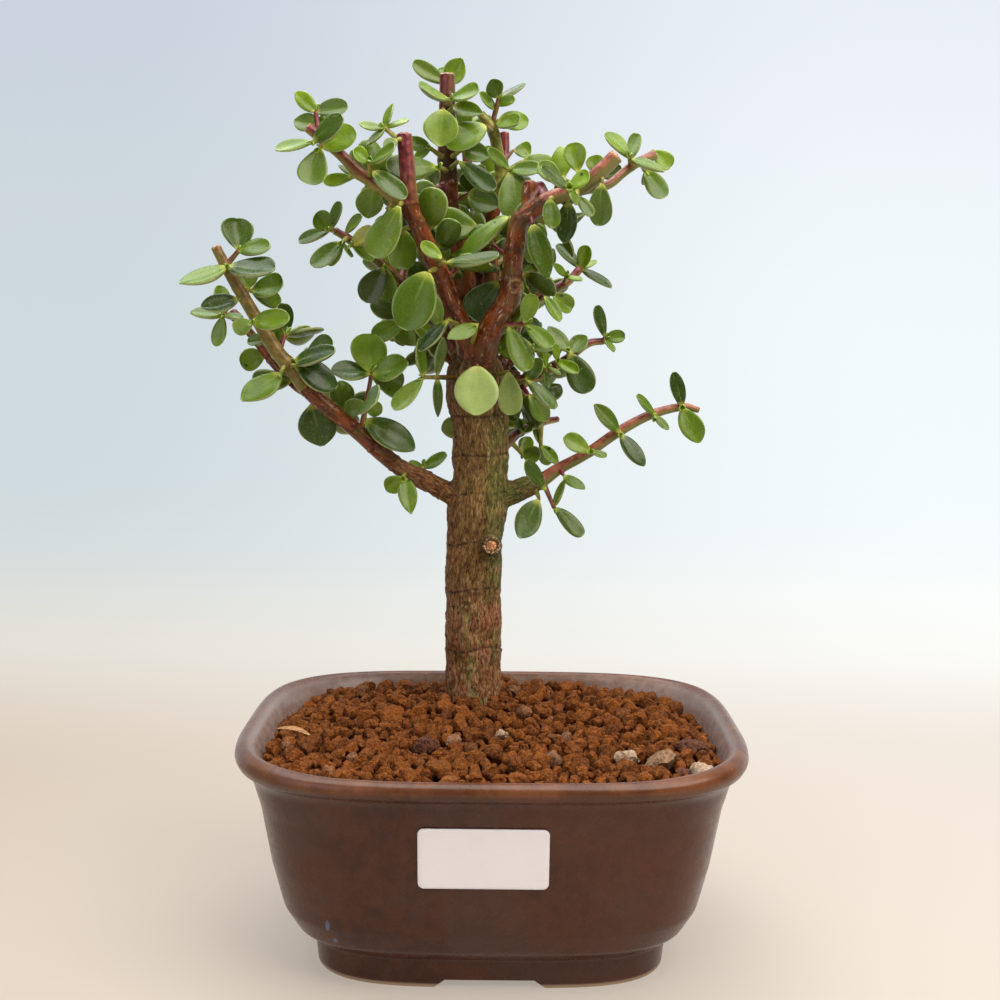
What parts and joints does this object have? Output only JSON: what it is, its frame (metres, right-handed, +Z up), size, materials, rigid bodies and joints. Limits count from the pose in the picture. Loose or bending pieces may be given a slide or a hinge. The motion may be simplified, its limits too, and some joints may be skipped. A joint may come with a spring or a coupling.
{
  "type": "dwarf jade bonsai",
  "caption": "Small succulent bonsai tree with plump rounded leaves, a ringed trunk and spreading limbs, growing in coarse soil in a glazed rectangular pot with rounded corners and low feet.",
  "frame": {"origin": "middle of the part's bounding box, on the surface that the pot's feet stand on", "axes": "+Z up along the trunk, -Y the pot's labelled front, +X to the right seen from the front"},
  "size_m": [0.1792, 0.1448, 0.2878],
  "materials": {
    "glaze": "dark brown satin stoneware glaze, rubbed to orange brown on the rim",
    "soil": "loose grains of baked red-brown clay with a few pale stones",
    "bark": "fibrous grey-brown bark on the trunk, smoother reddish brown on the limbs",
    "leaf": "waxy satin green succulent leaves with paler margins, on burgundy and green stems",
    "paper": "blank pale paper sticker",
    "plastic": "dark extruded mesh"
  },
  "bodies": {
    "root": {"drain_mesh_left": "plastic", "drain_mesh_right": "plastic", "label": "paper", "pot": "glaze", "shoot_centre_left_back": "leaf", "shoot_centre_left_behind": "leaf", "shoot_centre_left_big": "leaf", "shoot_centre_left_curl": "leaf", "shoot_centre_left_edge": "leaf", "shoot_centre_left_ledge": "leaf", "shoot_centre_left_oval": "leaf", "shoot_centre_left_small": "leaf", "shoot_centre_right_drop": "leaf", "shoot_centre_right_in": "leaf", "shoot_centre_right_long": "leaf", "shoot_centre_right_round": "leaf", "shoot_disc": "leaf", "shoot_elbow_drop": "leaf", "shoot_elbow_up": "leaf", "shoot_fork_end": "leaf", "shoot_fork_left": "leaf", "shoot_fork_round": "leaf", "shoot_fork_star": "leaf", "shoot_hero": "leaf", "shoot_leader_dark": "leaf", "shoot_leader_front": "leaf", "shoot_leader_r3": "leaf", "shoot_low_right_g": "leaf", "shoot_rear_1": "leaf", "shoot_rear_13": "leaf", "shoot_rear_14": "leaf", "shoot_rear_15": "leaf", "shoot_rear_16": "leaf", "shoot_rear_17": "leaf", "shoot_rear_18": "leaf", "shoot_rear_23": "leaf", "shoot_rear_6": "leaf", "shoot_rear_7": "leaf", "shoot_riser": "leaf", "shoot_under_big": "leaf", "shoot_upper_left_big": "leaf", "soil": "soil", "spray_back_high": "leaf", "spray_back_leader": "leaf", "spray_back_left": "leaf", "spray_centre_left": "leaf", "spray_centre_right": "leaf", "spray_leader": "leaf", "spray_left_mid": "leaf", "spray_low_left": "leaf", "spray_low_right": "leaf", "spray_right_back": "leaf", "spray_right_low": "leaf", "spray_right_mid": "leaf", "spray_upper_left": "leaf", "trunk": "bark"}
  },
  "joints": []
}
